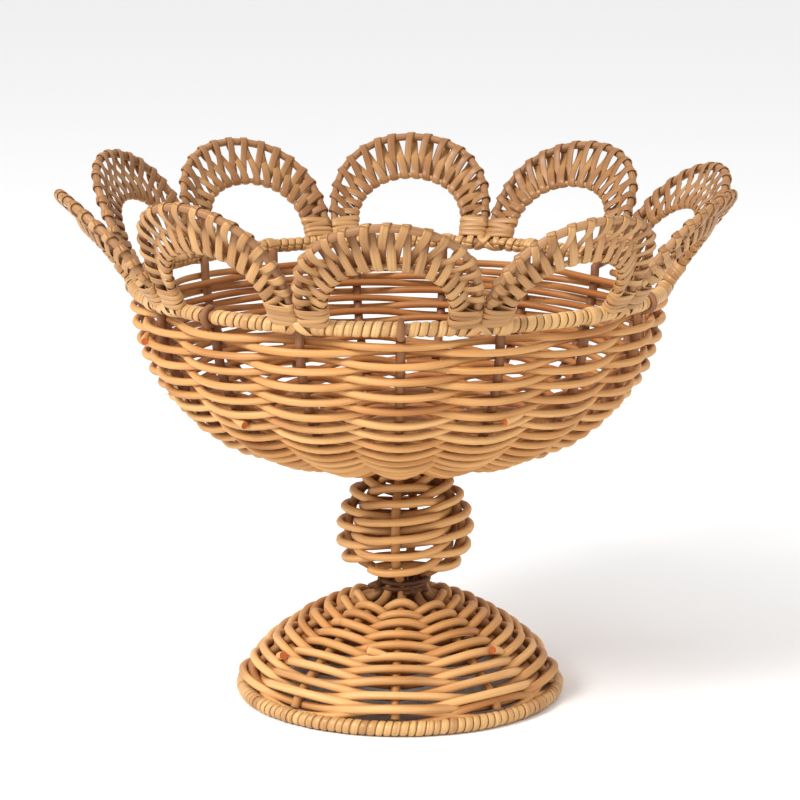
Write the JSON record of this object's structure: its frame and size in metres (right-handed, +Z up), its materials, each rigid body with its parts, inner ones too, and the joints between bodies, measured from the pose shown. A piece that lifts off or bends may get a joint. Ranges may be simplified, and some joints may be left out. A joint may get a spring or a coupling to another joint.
{
  "type": "footed woven fruit basket",
  "caption": "Woven rattan fruit bowl on a domed foot, with a ball stem and a scalloped rim of open laced loops.",
  "frame": {"origin": "centre of the foot ring's underside, on the surface the basket stands on", "axes": "+Z up along the bowl's axis; -Y is the front, +X to its right"},
  "size_m": [0.3138, 0.3195, 0.2547],
  "materials": {
    "weaver": "natural rattan core, light honey tan, satin",
    "stake": "natural rattan core, grey-brown, satin",
    "rod": "natural rattan, mid brown, satin",
    "cane": "flat rattan cane, pale tan with a soft gloss"
  },
  "bodies": {
    "root": {"bowl_hub": "weaver", "bowl_stake_01": "stake", "bowl_stake_02": "stake", "bowl_stake_03": "stake", "bowl_stake_04": "stake", "bowl_stake_05": "stake", "bowl_stake_06": "stake", "bowl_stake_07": "stake", "bowl_stake_08": "stake", "bowl_stake_09": "stake", "bowl_stake_10": "stake", "bowl_stake_11": "stake", "bowl_stake_12": "stake", "bowl_stake_13": "stake", "bowl_stake_14": "stake", "bowl_stake_15": "stake", "bowl_stake_16": "stake", "bowl_stake_17": "stake", "bowl_base_weave": "weaver", "bowl_weave": "weaver", "foot_binding": "cane", "foot_ring": "rod", "foot_stake_01": "stake", "foot_stake_02": "stake", "foot_stake_03": "stake", "foot_stake_04": "stake", "foot_stake_05": "stake", "foot_stake_06": "stake", "foot_stake_07": "stake", "foot_stake_08": "stake", "foot_stake_09": "stake", "foot_weave": "weaver", "loop_lacing_01": "cane", "loop_lacing_02": "cane", "loop_lacing_03": "cane", "loop_lacing_04": "cane", "loop_lacing_05": "cane", "loop_lacing_06": "cane", "loop_lacing_07": "cane", "loop_lacing_08": "cane", "loop_lacing_09": "cane", "loop_lacing_10": "cane", "loop_rod_01": "rod", "loop_rod_02": "rod", "loop_rod_03": "rod", "loop_rod_04": "rod", "loop_rod_05": "rod", "loop_rod_06": "rod", "loop_rod_07": "rod", "loop_rod_08": "rod", "loop_rod_09": "rod", "loop_rod_10": "rod", "neck_winding": "weaver", "rim_binding": "cane", "rim_hoop": "rod", "stem_stake_01": "stake", "stem_stake_02": "stake", "stem_stake_03": "stake", "stem_stake_04": "stake", "stem_weave": "weaver"}
  },
  "joints": []
}
